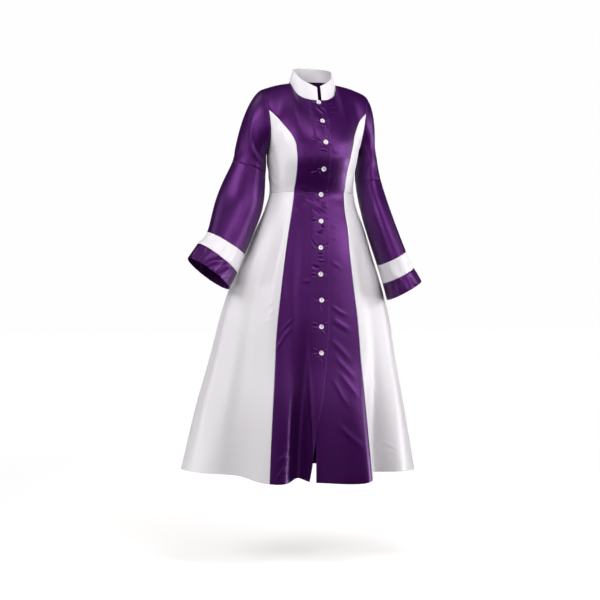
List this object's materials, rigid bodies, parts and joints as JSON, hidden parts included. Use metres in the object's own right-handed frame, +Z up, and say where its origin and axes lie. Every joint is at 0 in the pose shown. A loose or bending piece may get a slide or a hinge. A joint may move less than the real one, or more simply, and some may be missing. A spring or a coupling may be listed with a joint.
{
  "type": "clergy robe",
  "caption": "Full-length hollow clergy robe with white side panels, stand collar, buttoned front and flared banded sleeves.",
  "frame": {"origin": "middle of the neck at the height of the shoulder seams, where the shoulders carry the robe", "axes": "+Z up towards the collar, -Y out of the buttoned front, +X towards the wearer's left sleeve"},
  "size_m": [0.7468, 0.4801, 1.2881],
  "materials": {
    "purple_satin": "smooth satin, soft broad sheen",
    "white_satin": "smooth satin, soft broad sheen",
    "button_pearl": "pearly gloss"
  },
  "bodies": {
    "root": {"front_right": "purple_satin", "front_left": "purple_satin", "back_centre": "purple_satin", "side_front_bodice_r": "white_satin", "side_front_bodice_l": "white_satin", "side_front_skirt_r": "white_satin", "side_front_skirt_l": "white_satin", "side_back_bodice_r": "white_satin", "side_back_bodice_l": "white_satin", "side_back_skirt_r": "white_satin", "side_back_skirt_l": "white_satin", "upper_sleeve_r": "purple_satin", "upper_sleeve_l": "purple_satin", "lower_sleeve_r": "purple_satin", "lower_sleeve_l": "purple_satin", "sleeve_band_r": "white_satin", "sleeve_band_l": "white_satin", "sleeve_cuff_r": "purple_satin", "sleeve_cuff_l": "purple_satin", "collar": "white_satin", "button_01": "button_pearl", "button_02": "button_pearl", "button_03": "button_pearl", "button_04": "button_pearl", "button_05": "button_pearl", "button_06": "button_pearl", "button_07": "button_pearl", "button_08": "button_pearl", "button_09": "button_pearl", "button_10": "button_pearl", "button_11": "button_pearl"}
  },
  "joints": []
}
